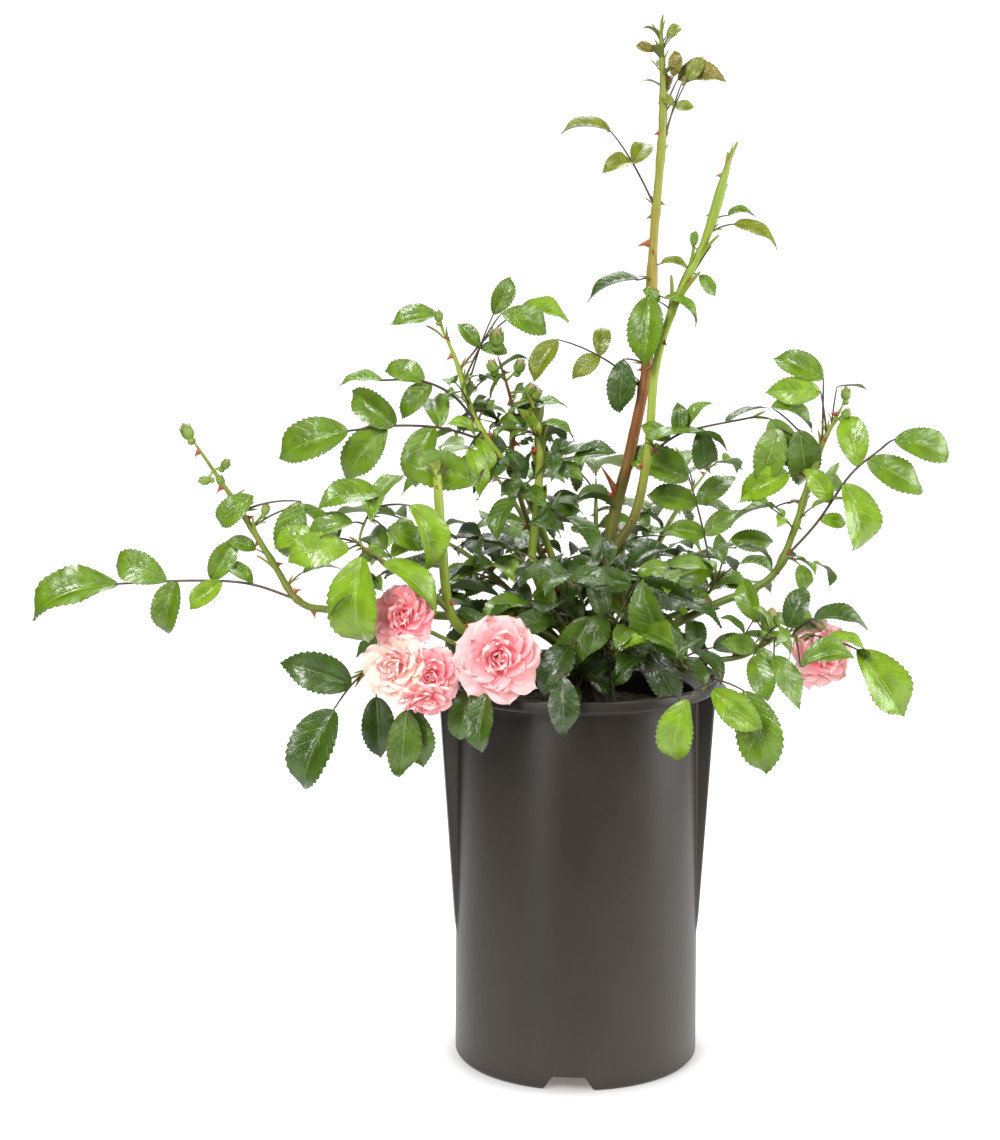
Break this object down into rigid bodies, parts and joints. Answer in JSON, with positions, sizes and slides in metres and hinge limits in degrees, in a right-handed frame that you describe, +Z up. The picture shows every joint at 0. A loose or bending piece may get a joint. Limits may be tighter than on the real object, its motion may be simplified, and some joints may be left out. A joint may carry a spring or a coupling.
{
  "type": "potted rose bush",
  "caption": "Young rose bush with leafy canes, buds and pink double blooms, rooted in a deep round nursery pot of compost.",
  "frame": {"origin": "middle of the pot's flat underside", "axes": "+Z up, -Y towards the front, +X to the right of that front"},
  "size_m": [0.5651, 0.3137, 0.6541],
  "materials": {
    "pot_plastic": "dark grey-brown moulded plastic with a soft sheen",
    "compost": "loose dark potting compost, matt",
    "crown_bark": "rough brown bark",
    "cane_bark": "smooth green bark, tinted red on some canes, satin",
    "foliage": "semi-gloss leaves, pale pink blooms and green buds"
  },
  "bodies": {
    "root": {"pot": "pot_plastic", "soil": "compost", "crown": "crown_bark", "tall_cane": "cane_bark", "forked_cane": "cane_bark", "left_arch": "cane_bark", "left_stump": "cane_bark", "upper_left_cane": "cane_bark", "bud_cane": "cane_bark", "middle_stub": "cane_bark", "right_arch": "cane_bark", "right_middle_cane": "cane_bark", "lower_right_cane": "cane_bark", "front_right_cane": "cane_bark", "bloom_cane": "cane_bark", "lower_left_cane": "cane_bark", "back_cane_1": "cane_bark", "back_cane_2": "cane_bark", "back_cane_3": "cane_bark", "back_cane_4": "cane_bark", "front_spray": "foliage", "tall_cane_spray": "foliage", "forked_cane_spray": "foliage", "left_arch_spray": "foliage", "bright_left_spray": "foliage", "upper_left_spray": "foliage", "bud_cane_spray": "foliage", "middle_stub_spray": "foliage", "right_arch_spray": "foliage", "right_middle_spray": "foliage", "lower_right_spray": "foliage", "front_right_spray": "foliage", "bloom_cane_spray": "foliage", "lower_left_spray": "foliage", "inner_spray_1": "foliage", "inner_spray_2": "foliage", "inner_spray_3": "foliage", "inner_spray_4": "foliage", "inner_spray_5": "foliage", "inner_spray_6": "foliage", "inner_spray_7": "foliage", "back_cane_1_spray": "foliage", "back_cane_2_spray": "foliage", "back_cane_3_spray": "foliage", "back_cane_4_spray": "foliage"}
  },
  "joints": []
}
